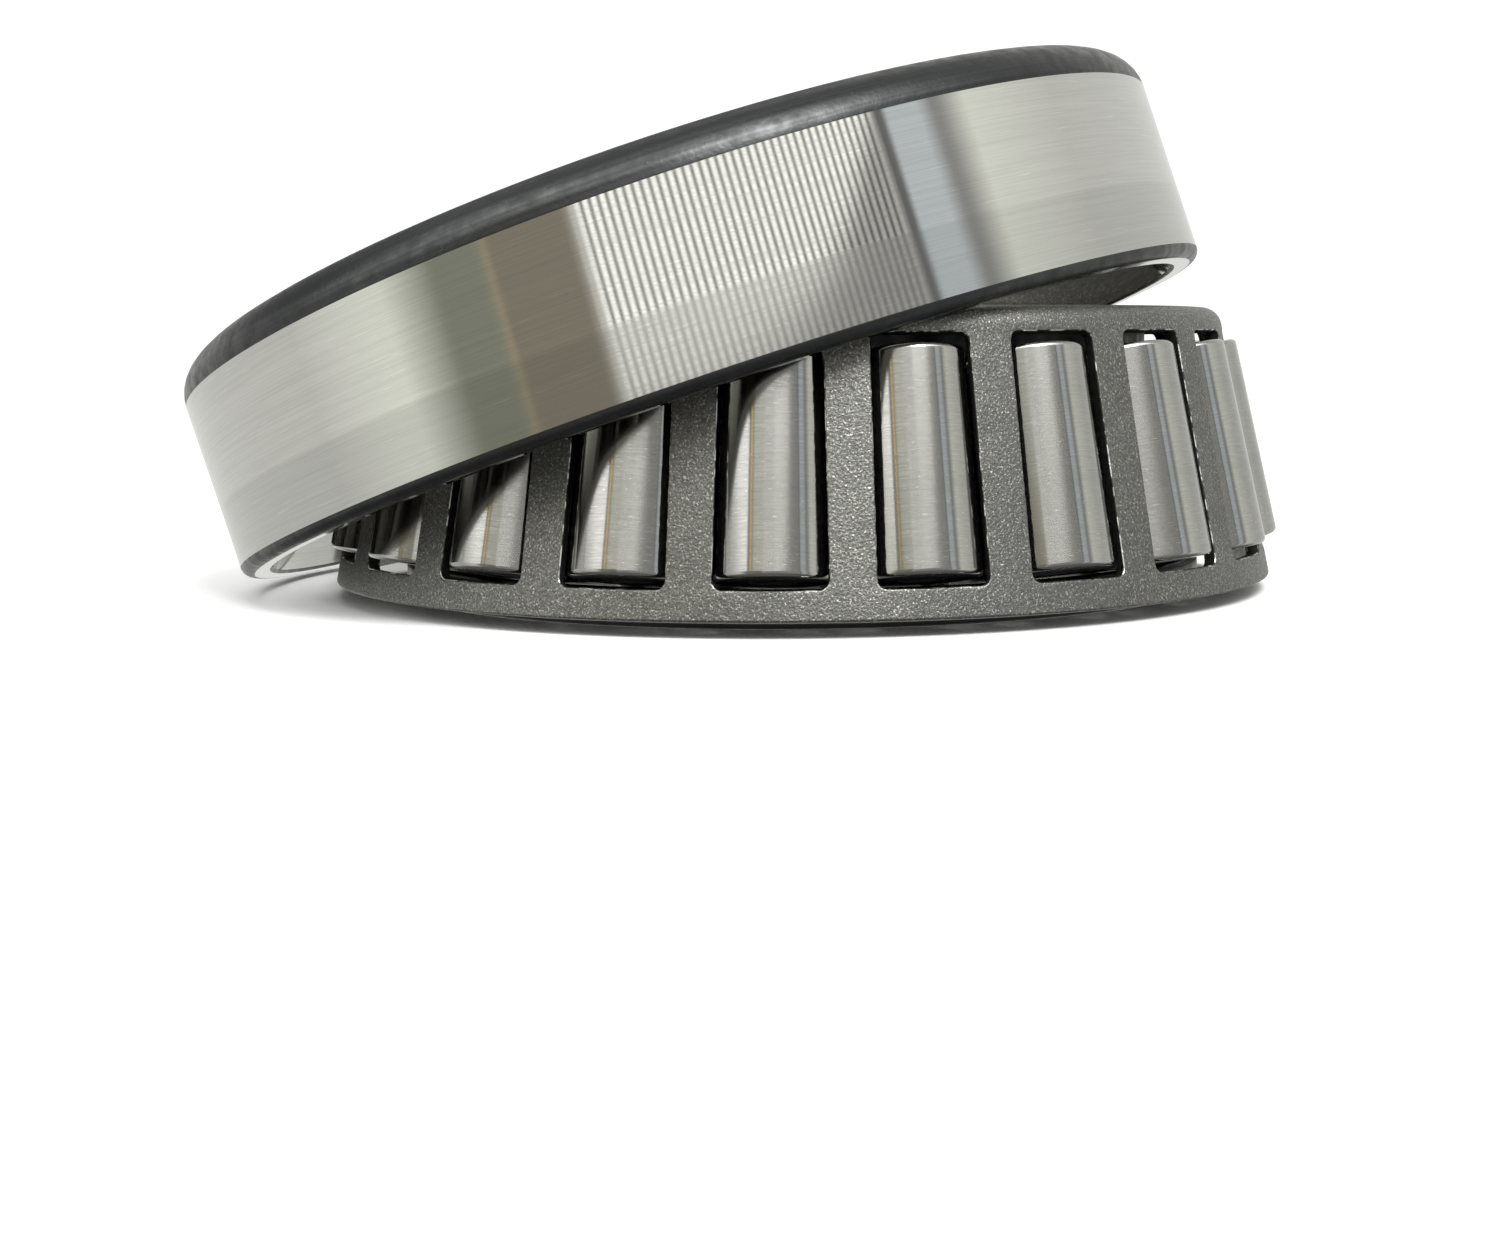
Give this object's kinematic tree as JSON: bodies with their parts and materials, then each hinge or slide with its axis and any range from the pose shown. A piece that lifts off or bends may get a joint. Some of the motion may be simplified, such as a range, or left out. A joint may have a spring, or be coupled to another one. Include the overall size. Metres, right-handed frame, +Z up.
{
  "type": "tapered roller bearing",
  "caption": "Single-row tapered roller bearing: inner ring with caged tapered rollers standing on its large end, and a separable outer ring that leans on them.",
  "frame": {"origin": "middle of the whole object's footprint, on the floor that the cone's back face and the leaning cup's low edge rest on", "axes": "+Z up, along the cone's axis; the cup leans in the XZ plane with its low side towards -X; the cone's axis is 8.2 mm from the origin towards +X"},
  "size_m": [0.1214, 0.1128, 0.0575],
  "materials": {
    "ring_steel": "hardened bearing steel, ground",
    "roller_steel": "hardened bearing steel, finely ground",
    "cage_steel": "pressed steel, tumbled and phosphated"
  },
  "bodies": {
    "cone": {"cone": "ring_steel"},
    "cage": {"cage": "cage_steel"},
    "cup": {"cup": "ring_steel"},
    "roller_01": {"roller_01": "roller_steel"},
    "roller_02": {"roller_02": "roller_steel"},
    "roller_03": {"roller_03": "roller_steel"},
    "roller_04": {"roller_04": "roller_steel"},
    "roller_05": {"roller_05": "roller_steel"},
    "roller_06": {"roller_06": "roller_steel"},
    "roller_07": {"roller_07": "roller_steel"},
    "roller_08": {"roller_08": "roller_steel"},
    "roller_09": {"roller_09": "roller_steel"},
    "roller_10": {"roller_10": "roller_steel"},
    "roller_11": {"roller_11": "roller_steel"},
    "roller_12": {"roller_12": "roller_steel"},
    "roller_13": {"roller_13": "roller_steel"},
    "roller_14": {"roller_14": "roller_steel"},
    "roller_15": {"roller_15": "roller_steel"},
    "roller_16": {"roller_16": "roller_steel"},
    "roller_17": {"roller_17": "roller_steel"},
    "roller_18": {"roller_18": "roller_steel"},
    "roller_19": {"roller_19": "roller_steel"},
    "roller_20": {"roller_20": "roller_steel"},
    "roller_21": {"roller_21": "roller_steel"}
  },
  "joints": [
    {"name": "cage_turn", "type": "hinge", "parent": "cone", "child": "cage", "pos_m": [0.00824, 0, 0], "axis": [0, 0, 1], "continuous": true},
    {"name": "cup_tip", "type": "hinge", "parent": "cage", "child": "cup", "pos_m": [-0.05424, 0, 0.0002], "axis": [0, -1, 0], "range_deg": [0, 71.3]},
    {"name": "roller_01_turn", "type": "hinge", "parent": "cage", "child": "roller_01", "pos_m": [0.05509, 0.00658, 0.00485], "axis": [-0.1953, -0.0274, 0.9804], "continuous": true},
    {"name": "roller_02_turn", "type": "hinge", "parent": "cage", "child": "roller_02", "pos_m": [0.05107, 0.0201, 0.00485], "axis": [-0.1785, -0.0838, 0.9804], "continuous": true},
    {"name": "roller_03_turn", "type": "hinge", "parent": "cage", "child": "roller_03", "pos_m": [0.04324, 0.03183, 0.00485], "axis": [-0.1459, -0.1327, 0.9804], "continuous": true},
    {"name": "roller_04_turn", "type": "hinge", "parent": "cage", "child": "roller_04", "pos_m": [0.0323, 0.04073, 0.00485], "axis": [-0.1003, -0.1698, 0.9804], "continuous": true},
    {"name": "roller_05_turn", "type": "hinge", "parent": "cage", "child": "roller_05", "pos_m": [0.01923, 0.04601, 0.00485], "axis": [-0.0458, -0.1918, 0.9804], "continuous": true},
    {"name": "roller_06_turn", "type": "hinge", "parent": "cage", "child": "roller_06", "pos_m": [0.00518, 0.04721, 0.00485], "axis": [0.0128, -0.1968, 0.9804], "continuous": true},
    {"name": "roller_07_turn", "type": "hinge", "parent": "cage", "child": "roller_07", "pos_m": [-0.0086, 0.04421, 0.00485], "axis": [0.0702, -0.1843, 0.9804], "continuous": true},
    {"name": "roller_08_turn", "type": "hinge", "parent": "cage", "child": "roller_08", "pos_m": [-0.02088, 0.03728, 0.00485], "axis": [0.1214, -0.1554, 0.9804], "continuous": true},
    {"name": "roller_09_turn", "type": "hinge", "parent": "cage", "child": "roller_09", "pos_m": [-0.03058, 0.02704, 0.00485], "axis": [0.1618, -0.1127, 0.9804], "continuous": true},
    {"name": "roller_10_turn", "type": "hinge", "parent": "cage", "child": "roller_10", "pos_m": [-0.03682, 0.01439, 0.00485], "axis": [0.1878, -0.06, 0.9804], "continuous": true},
    {"name": "roller_11_turn", "type": "hinge", "parent": "cage", "child": "roller_11", "pos_m": [-0.03906, 0.00047, 0.00485], "axis": [0.1972, -0.002, 0.9804], "continuous": true},
    {"name": "roller_12_turn", "type": "hinge", "parent": "cage", "child": "roller_12", "pos_m": [-0.0371, -0.01349, 0.00485], "axis": [0.189, 0.0562, 0.9804], "continuous": true},
    {"name": "roller_13_turn", "type": "hinge", "parent": "cage", "child": "roller_13", "pos_m": [-0.03111, -0.02626, 0.00485], "axis": [0.164, 0.1095, 0.9804], "continuous": true},
    {"name": "roller_14_turn", "type": "hinge", "parent": "cage", "child": "roller_14", "pos_m": [-0.02162, -0.03669, 0.00485], "axis": [0.1245, 0.1529, 0.9804], "continuous": true},
    {"name": "roller_15_turn", "type": "hinge", "parent": "cage", "child": "roller_15", "pos_m": [-0.00948, -0.04386, 0.00485], "axis": [0.0739, 0.1828, 0.9804], "continuous": true},
    {"name": "roller_16_turn", "type": "hinge", "parent": "cage", "child": "roller_16", "pos_m": [0.00424, -0.04714, 0.00485], "axis": [0.0167, 0.1965, 0.9804], "continuous": true},
    {"name": "roller_17_turn", "type": "hinge", "parent": "cage", "child": "roller_17", "pos_m": [0.01831, -0.04622, 0.00485], "axis": [-0.042, 0.1927, 0.9804], "continuous": true},
    {"name": "roller_18_turn", "type": "hinge", "parent": "cage", "child": "roller_18", "pos_m": [0.03149, -0.0412, 0.00485], "axis": [-0.0969, 0.1718, 0.9804], "continuous": true},
    {"name": "roller_19_turn", "type": "hinge", "parent": "cage", "child": "roller_19", "pos_m": [0.0426, -0.03252, 0.00485], "axis": [-0.1432, 0.1356, 0.9804], "continuous": true},
    {"name": "roller_20_turn", "type": "hinge", "parent": "cage", "child": "roller_20", "pos_m": [0.05066, -0.02095, 0.00485], "axis": [-0.1768, 0.0873, 0.9804], "continuous": true},
    {"name": "roller_21_turn", "type": "hinge", "parent": "cage", "child": "roller_21", "pos_m": [0.05495, -0.00752, 0.00485], "axis": [-0.1947, 0.0313, 0.9804], "continuous": true}
  ],
  "couplings": [
    {"joint": "roller_01_turn", "follows": "cage_turn", "ratio": 7.1064},
    {"joint": "roller_02_turn", "follows": "cage_turn", "ratio": 7.1064},
    {"joint": "roller_03_turn", "follows": "cage_turn", "ratio": 7.1064},
    {"joint": "roller_04_turn", "follows": "cage_turn", "ratio": 7.1064},
    {"joint": "roller_05_turn", "follows": "cage_turn", "ratio": 7.1064},
    {"joint": "roller_06_turn", "follows": "cage_turn", "ratio": 7.1064},
    {"joint": "roller_07_turn", "follows": "cage_turn", "ratio": 7.1064},
    {"joint": "roller_08_turn", "follows": "cage_turn", "ratio": 7.1064},
    {"joint": "roller_09_turn", "follows": "cage_turn", "ratio": 7.1064},
    {"joint": "roller_10_turn", "follows": "cage_turn", "ratio": 7.1064},
    {"joint": "roller_11_turn", "follows": "cage_turn", "ratio": 7.1064},
    {"joint": "roller_12_turn", "follows": "cage_turn", "ratio": 7.1064},
    {"joint": "roller_13_turn", "follows": "cage_turn", "ratio": 7.1064},
    {"joint": "roller_14_turn", "follows": "cage_turn", "ratio": 7.1064},
    {"joint": "roller_15_turn", "follows": "cage_turn", "ratio": 7.1064},
    {"joint": "roller_16_turn", "follows": "cage_turn", "ratio": 7.1064},
    {"joint": "roller_17_turn", "follows": "cage_turn", "ratio": 7.1064},
    {"joint": "roller_18_turn", "follows": "cage_turn", "ratio": 7.1064},
    {"joint": "roller_19_turn", "follows": "cage_turn", "ratio": 7.1064},
    {"joint": "roller_20_turn", "follows": "cage_turn", "ratio": 7.1064},
    {"joint": "roller_21_turn", "follows": "cage_turn", "ratio": 7.1064}
  ]
}
